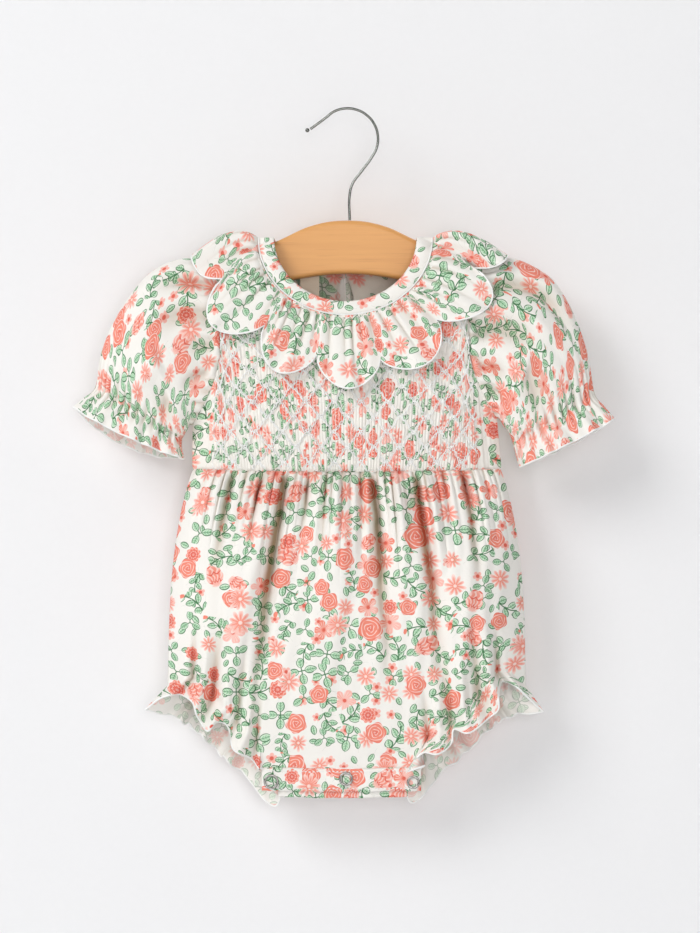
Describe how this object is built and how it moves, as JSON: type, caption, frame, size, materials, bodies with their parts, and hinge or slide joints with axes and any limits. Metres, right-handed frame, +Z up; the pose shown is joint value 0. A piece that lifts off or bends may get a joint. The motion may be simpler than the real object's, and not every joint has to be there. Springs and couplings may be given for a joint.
{
  "type": "baby romper with its wooden hanger",
  "caption": "Short-sleeved baby romper with a smocked front, scalloped ruffle collar, gathered legs and crotch snaps, hanging on a small wooden hanger.",
  "frame": {"origin": "inner top of the hanger's hook, where a rail or wall hook holds it", "axes": "+Z up, the garment's front faces -Y, +X on the right seen from the front"},
  "size_m": [0.3511, 0.0599, 0.4524],
  "materials": {
    "cloth": "matt floral muslin",
    "band": "matt floral muslin, cut on the bias",
    "label": "bare woven tape",
    "snap": "polished",
    "pearl": "gloss",
    "wood": "satin lacquered beech",
    "wire": "bright"
  },
  "bodies": {
    "root": {"hanger_arch": "wood", "hook_wire": "wire", "hook_tip": "wire", "bodice_front": "cloth", "bodice_back": "cloth", "neckband": "band", "collar_ruffle": "cloth", "sleeve_left": "cloth", "sleeve_right": "cloth", "body_front": "cloth", "body_back": "cloth", "placket_front": "band", "placket_back": "band", "snap_left": "snap", "snap_middle": "snap", "snap_right": "snap", "neck_label": "label", "back_button": "pearl", "back_loop": "band"}
  },
  "joints": []
}
